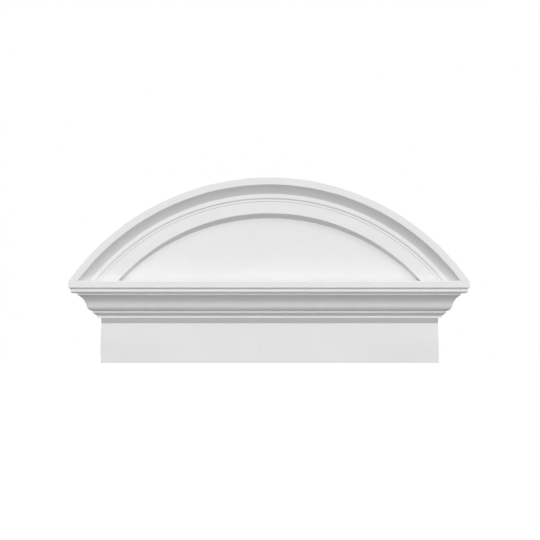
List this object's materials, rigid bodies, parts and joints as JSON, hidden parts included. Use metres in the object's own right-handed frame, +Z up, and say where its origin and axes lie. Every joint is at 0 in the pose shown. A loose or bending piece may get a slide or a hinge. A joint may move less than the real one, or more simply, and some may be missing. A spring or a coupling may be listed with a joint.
{
  "type": "door pediment",
  "caption": "White moulded segmental pediment to fix on a wall over a door: arch with a sunk panel above a straight cornice with returned ends and a plain frieze.",
  "frame": {"origin": "on the flat back, on the centre line, at the springing line where the arch meets the horizontal cornice", "axes": "+Z up, -Y towards the front, +Y into the wall, +X along the cornice to the right as seen from the front"},
  "size_m": [1.28, 0.135, 0.5981],
  "materials": {
    "white_polymer": "smooth moulded foam with a matt white primer coat, soft arrises and faint unevenness"
  },
  "bodies": {
    "root": {"pediment": "white_polymer"}
  },
  "joints": []
}
